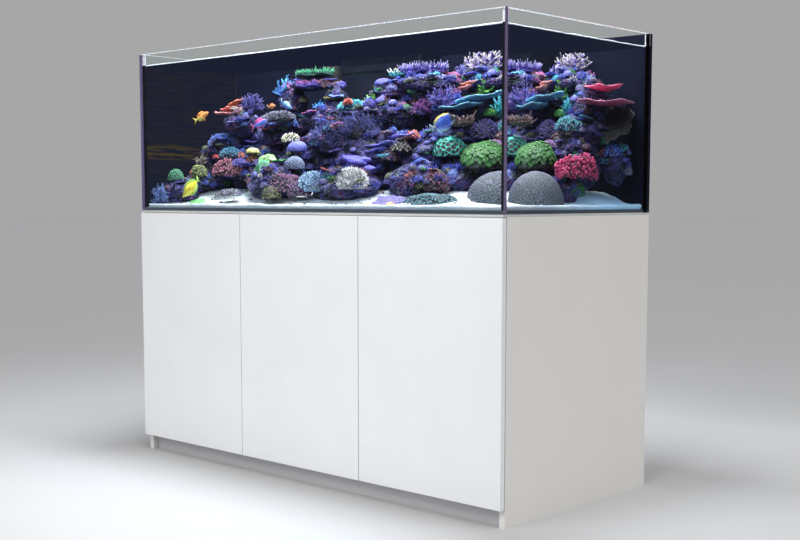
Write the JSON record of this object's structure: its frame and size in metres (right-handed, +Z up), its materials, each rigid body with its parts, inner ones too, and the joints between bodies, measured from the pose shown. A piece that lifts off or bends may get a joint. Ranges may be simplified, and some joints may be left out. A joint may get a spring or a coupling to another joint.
{
  "type": "aquarium on stand",
  "caption": "Rimless glass reef aquarium with rock, corals and fish, on a lacquered cabinet with hinged doors over a sump, skimmer and plumbing.",
  "frame": {"origin": "on the floor under the middle of the outer box", "axes": "+X to the right along the doors, +Y to the back, +Z up"},
  "size_m": [1.5, 0.68, 1.296],
  "materials": {
    "door_lacquer": "white lacquered board, satin-gloss",
    "cabinet_laminate": "warm light-grey melamine-faced board, satin",
    "inner_laminate": "white melamine-faced board, satin",
    "plinth_laminate": "grey laminated board, satin",
    "hinge_steel": "nickel-plated pressed steel",
    "pin_steel": "ground steel pin",
    "white_plastic": "moulded white plastic",
    "soft_bumper": "translucent soft bumper",
    "clear_glass": "low-iron float glass, polished edges",
    "black_glass": "black back-painted float glass",
    "silicone": "black silicone, smooth",
    "foam_mat": "closed-cell levelling foam, light grey",
    "black_acrylic": "black acrylic sheet",
    "grey_pvc": "grey pressure pipe",
    "black_plastic": "moulded black plastic",
    "red_plastic": "moulded red handwheel",
    "sump_glass": "float glass, greenish edges",
    "clear_acrylic": "smoked clear acrylic",
    "felt": "needle felt, matte",
    "sand": "fine white coral sand",
    "reef_rock": "porous rock with purple coralline crust",
    "coral_green": "stony coral, domes and polyps, many colours",
    "coral_blue": "plating coral, many colours",
    "coral_purple": "branching coral, many colours",
    "fish_skin": "fish skin, many colours"
  },
  "bodies": {
    "aquarium": {"side_panel_left": "cabinet_laminate", "side_panel_right": "cabinet_laminate", "base_panel": "inner_laminate", "top_panel": "inner_laminate", "divider": "inner_laminate", "front_post": "inner_laminate", "back_panel_left": "cabinet_laminate", "back_panel_right": "cabinet_laminate", "back_rails": "cabinet_laminate", "plinth_front": "plinth_laminate", "plinth_braces": "plinth_laminate", "shelf": "inner_laminate", "shelf_pins": "pin_steel", "corner_blocks": "white_plastic", "door_bumpers": "soft_bumper", "hinge_arms": "hinge_steel", "hinge_plates": "hinge_steel", "latch_housings": "white_plastic", "glass_front": "clear_glass", "glass_back": "black_glass", "glass_left": "clear_glass", "glass_right": "clear_glass", "glass_floor": "clear_glass", "tank_seams": "silicone", "tank_mat": "foam_mat", "weir_box": "black_acrylic", "bulkheads": "black_plastic", "drain_pipes": "grey_pvc", "return_pipe": "grey_pvc", "drain_valve": "grey_pvc", "sump_panes": "sump_glass", "sump_baffles": "sump_glass", "sock_tray": "white_plastic", "skimmer_body": "clear_acrylic", "return_pump": "black_plastic", "top_up_reservoir": "clear_acrylic", "sand_bed": "sand", "reef_rocks": "reef_rock", "dome_corals": "coral_green", "plate_corals": "coral_blue", "branching_corals": "coral_purple", "fish": "fish_skin"},
    "left_door": {"door_left": "door_lacquer", "hinge_cups_left": "hinge_steel", "hinge_pins_left": "pin_steel"},
    "middle_door": {"door_middle": "door_lacquer", "hinge_cups_middle": "hinge_steel", "hinge_pins_middle": "pin_steel"},
    "right_door": {"door_right": "door_lacquer", "hinge_cups_right": "hinge_steel", "hinge_pins_right": "pin_steel"},
    "left_latch": {"latch_plunger_left": "white_plastic"},
    "middle_latch": {"latch_plunger_middle": "white_plastic"},
    "right_latch": {"latch_plunger_right": "white_plastic"},
    "valve_handwheel": {"valve_wheel": "red_plastic"},
    "nozzle": {"return_nozzle": "black_plastic"},
    "comb": {"weir_comb": "black_acrylic"},
    "lid": {"weir_lid": "black_acrylic"},
    "sock": {"filter_sock": "felt"},
    "cup": {"skimmer_cup": "clear_acrylic"}
  },
  "joints": [
    {"name": "left_door_hinge", "type": "hinge", "parent": "aquarium", "child": "left_door", "pos_m": [-0.743, -0.334, 0.4], "axis": [0, 0, -1], "range_deg": [0, 95]},
    {"name": "middle_door_hinge", "type": "hinge", "parent": "aquarium", "child": "middle_door", "pos_m": [0.2415, -0.334, 0.4], "axis": [0, 0, 1], "range_deg": [0, 95]},
    {"name": "right_door_hinge", "type": "hinge", "parent": "aquarium", "child": "right_door", "pos_m": [0.743, -0.334, 0.4], "axis": [0, 0, 1], "range_deg": [0, 95]},
    {"name": "left_latch_push", "type": "slide", "parent": "aquarium", "child": "left_latch", "axis": [0, 1, 0], "range_m": [0, 0.0024], "stiffness_N_per_m": 400},
    {"name": "middle_latch_push", "type": "slide", "parent": "aquarium", "child": "middle_latch", "axis": [0, 1, 0], "range_m": [0, 0.0024], "stiffness_N_per_m": 400},
    {"name": "right_latch_push", "type": "slide", "parent": "aquarium", "child": "right_latch", "axis": [0, 1, 0], "range_m": [0, 0.0024], "stiffness_N_per_m": 400},
    {"name": "valve_turn", "type": "hinge", "parent": "aquarium", "child": "valve_handwheel", "pos_m": [0.03, 0.18, 0.62], "axis": [0, -1, 0], "range_deg": [-540, 540]},
    {"name": "nozzle_swivel", "type": "hinge", "parent": "aquarium", "child": "nozzle", "pos_m": [-0.24, 0.29, 1.22], "axis": [0, 0, 1], "range_deg": [-45, 45]},
    {"name": "comb_lift", "type": "slide", "parent": "aquarium", "child": "comb", "axis": [0, 0, 1], "range_m": [0, 0.08]},
    {"name": "lid_lift", "type": "slide", "parent": "aquarium", "child": "lid", "axis": [0, 0, 1], "range_m": [0, 0.06]},
    {"name": "sock_lift", "type": "slide", "parent": "aquarium", "child": "sock", "axis": [0, 0, 1], "range_m": [0, 0.3]},
    {"name": "cup_lift", "type": "slide", "parent": "aquarium", "child": "cup", "axis": [0, 0, 1], "range_m": [0, 0.1]}
  ]
}
